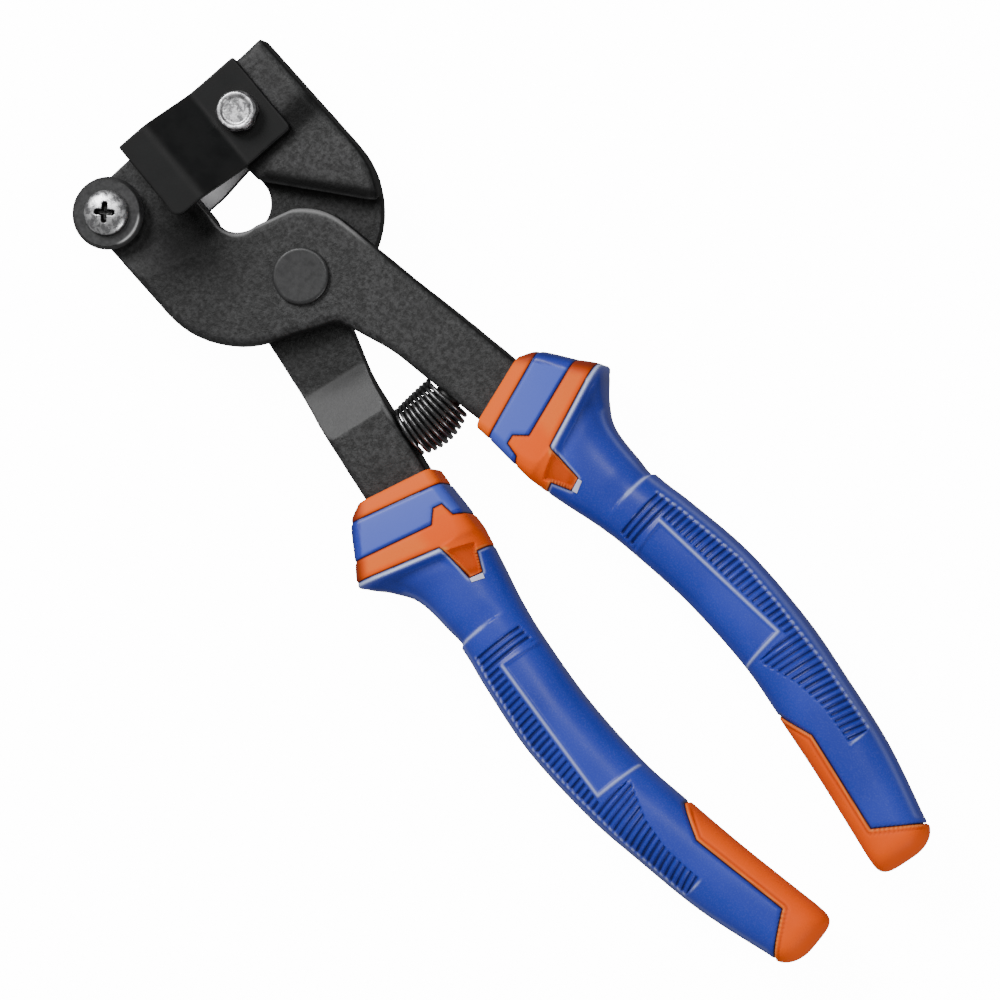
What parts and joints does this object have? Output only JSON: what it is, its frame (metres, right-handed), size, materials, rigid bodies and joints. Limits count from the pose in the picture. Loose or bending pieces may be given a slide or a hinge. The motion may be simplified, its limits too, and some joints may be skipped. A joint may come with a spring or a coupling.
{
  "type": "tile cutting pliers",
  "caption": "Hand pliers that score and snap ceramic tile: a scoring wheel on the lower jaw, a bent breaker foot on the upper jaw, a return spring and two-colour moulded grips.",
  "frame": {"origin": "on the axis of the pivot rivet, at the flat rear face of the rivet's head", "axes": "+X from the pivot towards the handles, +Y towards the upper handle, +Z along the pivot from the rear face to the front face; the pliers lie flat with the jaws to -X"},
  "size_m": [0.1992, 0.062, 0.024],
  "materials": {
    "forged_steel": "black oxide forging, fine sandy grain",
    "rivet_steel": "dark phosphated",
    "wheel_steel": "dark hardened tool steel",
    "spring_steel": "black oiled wire",
    "blackened_sheet": "satin black coated sheet steel",
    "zinc_plate": "bright zinc plate",
    "bush_brass": "turned",
    "blue_moulding": "satin moulded grip",
    "orange_moulding": "satin moulded core",
    "pale_moulding": "glossy insert"
  },
  "bodies": {
    "upper_jaw_half": {"upper_jaw_arm": "forged_steel", "pivot_rivet": "rivet_steel", "return_spring": "spring_steel", "lower_spring_peg": "rivet_steel", "lower_grip_core": "orange_moulding", "lower_grip_collar": "blue_moulding", "lower_grip_body": "blue_moulding", "lower_grip_window": "pale_moulding"},
    "lower_jaw_half": {"lower_jaw_arm": "forged_steel", "upper_spring_peg": "rivet_steel", "upper_grip_core": "orange_moulding", "upper_grip_collar": "blue_moulding", "upper_grip_body": "blue_moulding", "upper_grip_window": "pale_moulding", "wheel_bush": "bush_brass", "wheel_spacer": "zinc_plate", "wheel_screw": "zinc_plate", "wheel_nut": "zinc_plate"},
    "breaker_foot": {"foot_wing_front": "blackened_sheet", "foot_wing_rear": "blackened_sheet", "foot_bolt": "zinc_plate", "foot_nut": "zinc_plate", "foot_sleeve": "zinc_plate"},
    "wheel": {"scoring_wheel": "wheel_steel"}
  },
  "joints": [
    {"name": "jaw_pivot", "type": "hinge", "parent": "upper_jaw_half", "child": "lower_jaw_half", "pos_m": [0, 0, 0.0061], "axis": [0, 0, 1], "range_deg": [-3, 17], "stiffness_Nm_per_rad": 1.2, "deforming": ["return_spring"]},
    {"name": "foot_swivel", "type": "hinge", "parent": "upper_jaw_half", "child": "breaker_foot", "pos_m": [-0.0311, 0.012, 0.0061], "axis": [0, 0, 1], "range_deg": [-6, 10]},
    {"name": "wheel_spin", "type": "hinge", "parent": "lower_jaw_half", "child": "wheel", "pos_m": [-0.0338, -0.0194, 0.0127], "axis": [0, 0, 1], "continuous": true}
  ]
}
